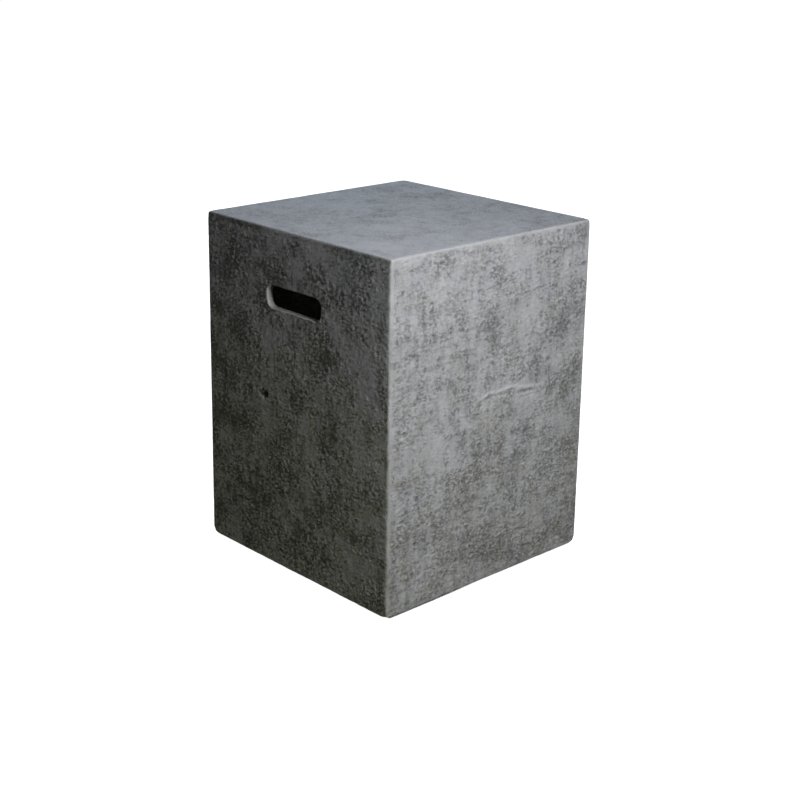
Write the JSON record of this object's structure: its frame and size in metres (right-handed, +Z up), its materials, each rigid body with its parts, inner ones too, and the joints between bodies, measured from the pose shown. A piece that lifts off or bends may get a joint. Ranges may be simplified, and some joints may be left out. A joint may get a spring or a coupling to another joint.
{
  "type": "propane tank cover table",
  "caption": "Square hollow cast-concrete side table that lifts over a propane tank, with hand slots, a hose notch and screw-in levelling feet.",
  "frame": {"origin": "on the ground at the middle of the footprint, under the undersides of the feet", "axes": "+Z up to the table top; -Y the plain front face; -X and +X the faces with the hand slots; +Y the back face with the hose notch"},
  "size_m": [0.4, 0.4, 0.514],
  "materials": {
    "concrete": "matte",
    "zinc_steel": "satin",
    "black_nylon": "matte"
  },
  "bodies": {
    "shell": {"cover_shell": "concrete", "foot_insert_front_left": "zinc_steel", "foot_insert_front_right": "zinc_steel", "foot_insert_back_left": "zinc_steel", "foot_insert_back_right": "zinc_steel"},
    "pad_front_left": {"foot_pad_front_left": "black_nylon"},
    "stem_front_left": {"foot_stem_front_left": "zinc_steel"},
    "pad_front_right": {"foot_pad_front_right": "black_nylon"},
    "stem_front_right": {"foot_stem_front_right": "zinc_steel"},
    "pad_back_left": {"foot_pad_back_left": "black_nylon"},
    "stem_back_left": {"foot_stem_back_left": "zinc_steel"},
    "pad_back_right": {"foot_pad_back_right": "black_nylon"},
    "stem_back_right": {"foot_stem_back_right": "zinc_steel"}
  },
  "joints": [
    {"name": "foot_height_front_left", "type": "slide", "parent": "shell", "child": "pad_front_left", "axis": [0, 0, -1], "range_m": [0, 0.0101]},
    {"name": "foot_screw_front_left", "type": "hinge", "parent": "pad_front_left", "child": "stem_front_left", "pos_m": [-0.167, -0.167, 0.01], "axis": [0, 0, -1], "range_deg": [0, 2880]},
    {"name": "foot_height_front_right", "type": "slide", "parent": "shell", "child": "pad_front_right", "axis": [0, 0, -1], "range_m": [0, 0.0101]},
    {"name": "foot_screw_front_right", "type": "hinge", "parent": "pad_front_right", "child": "stem_front_right", "pos_m": [0.167, -0.167, 0.01], "axis": [0, 0, -1], "range_deg": [0, 2880]},
    {"name": "foot_height_back_left", "type": "slide", "parent": "shell", "child": "pad_back_left", "axis": [0, 0, -1], "range_m": [0, 0.0101]},
    {"name": "foot_screw_back_left", "type": "hinge", "parent": "pad_back_left", "child": "stem_back_left", "pos_m": [-0.167, 0.167, 0.01], "axis": [0, 0, -1], "range_deg": [0, 2880]},
    {"name": "foot_height_back_right", "type": "slide", "parent": "shell", "child": "pad_back_right", "axis": [0, 0, -1], "range_m": [0, 0.0101]},
    {"name": "foot_screw_back_right", "type": "hinge", "parent": "pad_back_right", "child": "stem_back_right", "pos_m": [0.167, 0.167, 0.01], "axis": [0, 0, -1], "range_deg": [0, 2880]}
  ],
  "couplings": [
    {"joint": "foot_height_front_left", "follows": "foot_screw_front_left", "m_per_rad": 0.00019894},
    {"joint": "foot_height_front_right", "follows": "foot_screw_front_right", "m_per_rad": 0.00019894},
    {"joint": "foot_height_back_left", "follows": "foot_screw_back_left", "m_per_rad": 0.00019894},
    {"joint": "foot_height_back_right", "follows": "foot_screw_back_right", "m_per_rad": 0.00019894}
  ]
}
